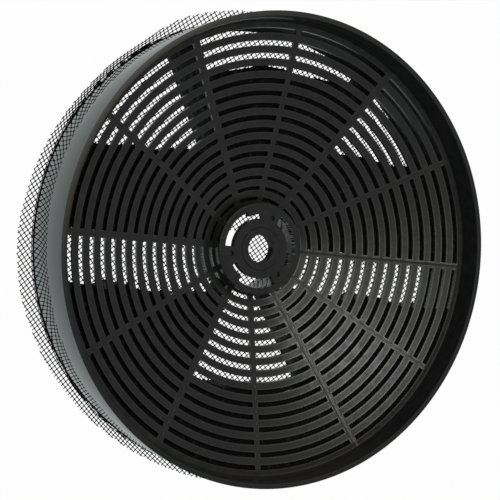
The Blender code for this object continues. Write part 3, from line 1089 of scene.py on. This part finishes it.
def bed_column(sizes, number, x):
    """Lowest and highest Y of the carbon at X in one space, or None outside it."""
    inner = sizes.hub_radius + BED_GAP
    outer = sizes.back_radius - sizes.wall - BED_GAP
    side = sizes.main_spoke / 2 + BED_GAP
    if abs(x) >= outer:
        return None
    reach = math.sqrt(outer ** 2 - x ** 2)
    middle = math.radians(60.0 * number + 30.0)
    low, high = -reach, reach
    for turn in (-1, 1):
        line = middle + turn * math.radians(30.0)
        # The space lies on this side of the wall: x * nx + y * ny >= side.
        nx, ny = turn * math.sin(line), -turn * math.cos(line)
        if abs(ny) < 1e-6:
            continue
        limit = (side - x * nx) / ny
        if ny > 0:
            low = max(low, limit)
        else:
            high = min(high, limit)
    if abs(x) < inner:
        arc = math.sqrt(inner ** 2 - x ** 2)
        if math.sin(middle) > 0:
            low = max(low, arc)
        else:
            high = min(high, -arc)
    high = min(high, edge_height(BED_EDGES[number], x) - BED_EDGE_DROP)
    return (low, high) if high - low > 0.2 * MM else None


def bed_mesh(sizes, number):
    """The carbon in one space as one closed block, before its granules are added."""
    bm = bmesh.new()
    rows = 12
    steps = 120
    columns = []
    for step in range(steps + 1):
        x = sizes.back_radius * (2.0 * step / steps - 1.0)
        ends = bed_column(sizes, number, x)
        if ends is None:
            continue
        columns.append([(x, ends[0] + (ends[1] - ends[0]) * row / rows)
                        for row in range(rows + 1)])
    layers = []
    for top in (False, True):
        layer = []
        for column in columns:
            verts = []
            for x, y in column:
                radius = math.hypot(x, y)
                height = back_height(sizes, radius) + BED_FOOT
                if top:
                    height = grille_height(sizes, radius) - sizes.grille_thick - BED_TOP
                verts.append(bm.verts.new((x, y, height)))
            layer.append(verts)
        layers.append(layer)
    for layer in layers:
        for left, right in zip(layer, layer[1:]):
            for row in range(rows):
                bm.faces.new([left[row], right[row], right[row + 1], left[row + 1]])
    rims = []
    for layer in layers:
        rim = [column[0] for column in layer]
        rim += layer[-1][1:]
        rim += [column[-1] for column in reversed(layer[:-1])]
        rim += list(reversed(layer[0][1:-1]))
        rims.append(rim)
    low_rim, high_rim = rims
    for i in range(len(low_rim)):
        bm.faces.new([low_rim[i - 1], low_rim[i], high_rim[i], high_rim[i - 1]])
    bmesh.ops.recalc_face_normals(bm, faces=bm.faces[:])
    return bm


class FILTER_OT_carbon(bpy.types.Operator):
    """Add the loose carbon in the six spaces"""
    bl_idname = "filter.add_carbon"
    bl_label = "Carbon"

    def execute(self, context):
        sizes = context.scene.filter_sizes
        finish = context.scene.filter_finish
        material = shared_material("carbon_granules", lambda: carbon_material(finish.carbon))
        for number in range(1, BEDS + 1):
            bed = new_object(f"carbon_granules_{number}", bed_mesh(sizes, number - 1))
            bed_tree(sizes, material, sizes.seed + number).grow(bed)
            claim(bed, "carbon", f"carbon_bed_{number}")
        return {"FINISHED"}


def floor_material():
    """Pale floor that shows as white to the camera and still takes the object's shadow."""
    material = bpy.data.materials.new("pale_floor")
    material.use_nodes = True
    tree = material.node_tree
    tree.nodes.clear()
    graph = Graph(tree)
    grain = noise(graph, texture_place(graph), 30.0)
    matt = graph.node("ShaderNodeBsdfDiffuse", None, {"Color": (0.8, 0.8, 0.8, 1.0)})
    graph.join(matt.inputs["Roughness"], 0.5 + grain * 0.2)
    ray = graph.node("ShaderNodeLightPath")
    pale = colour_mix(graph, Number(graph, ray.outputs["Is Glossy Ray"]),
                      (1.0, 1.0, 1.0, 1.0), (0.92, 1.0, 0.98, 1.0))
    white = graph.node("ShaderNodeEmission", None, {"Color": pale, "Strength": 1.0})
    seen = (Number(graph, ray.outputs["Is Camera Ray"])
            + Number(graph, ray.outputs["Is Glossy Ray"]) * 0.7
            + Number(graph, ray.outputs["Is Transmission Ray"])).clip(0.0, 1.0)
    mix = graph.node("ShaderNodeMixShader", None,
                     {0: seen * 0.985, 1: matt.outputs[0], 2: white.outputs[0]})
    graph.node("ShaderNodeOutputMaterial", None, {"Surface": mix.outputs[0]})
    return material


class FILTER_OT_stage(bpy.types.Operator):
    """Add the floor, the light and the camera"""
    bl_idname = "filter.add_stage"
    bl_label = "Stage"

    def execute(self, context):
        bm = bmesh.new()
        bmesh.ops.create_grid(bm, x_segments=2, y_segments=2, size=2.5)
        floor = new_object("floor", bm)
        floor.location.z = -0.2 * MM
        floor.data.materials.append(floor_material())
        self.add_world(context)
        self.add_lamp(context, "strip", (0.30, 0.40, 1.38), (0.10, 0.44), 0.85)
        self.add_lamp(context, "overhead", (0.02, 0.16, 1.50), (0.5, 0.5), 0.6)
        self.add_camera(context)
        return {"FINISHED"}

    def add_world(self, context):
        world = bpy.data.worlds.new("studio")
        context.scene.world = world
        world.use_nodes = True
        world.node_tree.nodes.clear()
        graph = Graph(world.node_tree)
        sky = graph.node("ShaderNodeBackground", None,
                         {"Color": (0.97, 1.0, 1.0, 1.0), "Strength": 0.22})
        graph.node("ShaderNodeOutputWorld", None, {"Surface": sky.outputs[0]})

    def add_lamp(self, context, name, place, size, power):
        """One rectangular lamp aimed at the filter."""
        lamp = bpy.data.lights.new(name, "AREA")
        lamp.shape = "RECTANGLE"
        lamp.size, lamp.size_y = size
        lamp.energy = power
        lamp.color = (1.0, 1.0, 0.9)
        obj = bpy.data.objects.new(name, lamp)
        obj.location = place
        obj.rotation_euler = (-Vector(place)).to_track_quat("-Z", "Y").to_euler()
        context.scene.collection.objects.link(obj)

    def add_camera(self, context):
        """The photograph's camera, from a fit of the rim, the slots and the spokes."""
        turn = Matrix.Rotation(math.radians(CAMERA_TURN), 3, "Z")
        right = turn @ Vector((0.88086816, 0.10731888, 0.46103573))
        up = turn @ Vector((-0.09636785, 0.99422083, -0.04730933))
        out = turn @ Vector((-0.46344852, -0.00275574, 0.88611956))
        place = turn @ Vector((-298.90, -3.01, 527.56)) * MM
        place.z += HOUSING_HIGH[2]
        camera = bpy.data.cameras.new("camera")
        camera.lens = FOCAL_PIXELS / PICTURE_PIXELS * SENSOR
        camera.sensor_width = SENSOR
        camera.clip_start = 0.01
        obj = bpy.data.objects.new("camera", camera)
        pose = Matrix((right, up, out)).transposed().to_4x4()
        pose.translation = place
        obj.matrix_world = pose
        context.scene.collection.objects.link(obj)
        context.scene.camera = obj


class FILTER_PT_panel(bpy.types.Panel):
    """Lists the filter's pieces in the sidebar"""
    bl_idname = "FILTER_PT_panel"
    bl_label = "Round carbon filter"
    bl_space_type = "VIEW_3D"
    bl_region_type = "UI"
    bl_category = "Filter"

    def draw(self, context):
        for operator in OPERATORS:
            self.layout.operator(operator.bl_idname)


OPERATORS = (FILTER_OT_rim, FILTER_OT_grille, FILTER_OT_hub, FILTER_OT_walls, FILTER_OT_net,
             FILTER_OT_carbon, FILTER_OT_stage)
CLASSES = (FilterSizes, FilterFinish) + OPERATORS + (FILTER_PT_panel,)


def register():
    for item in CLASSES:
        bpy.utils.register_class(item)
    bpy.types.Scene.filter_sizes = PointerProperty(type=FilterSizes)
    bpy.types.Scene.filter_finish = PointerProperty(type=FilterFinish)


def unregister():
    del bpy.types.Scene.filter_finish
    del bpy.types.Scene.filter_sizes
    for item in reversed(CLASSES):
        bpy.utils.unregister_class(item)


def main():
    register()
    bpy.context.scene.view_settings.view_transform = "Standard"
    bpy.ops.filter.add_rim()
    bpy.ops.filter.add_grille()
    bpy.ops.filter.add_hub()
    bpy.ops.filter.add_walls()
    bpy.ops.filter.add_net()
    bpy.ops.filter.add_carbon()
    bpy.ops.filter.add_stage()


if __name__ == "__main__":
    main()
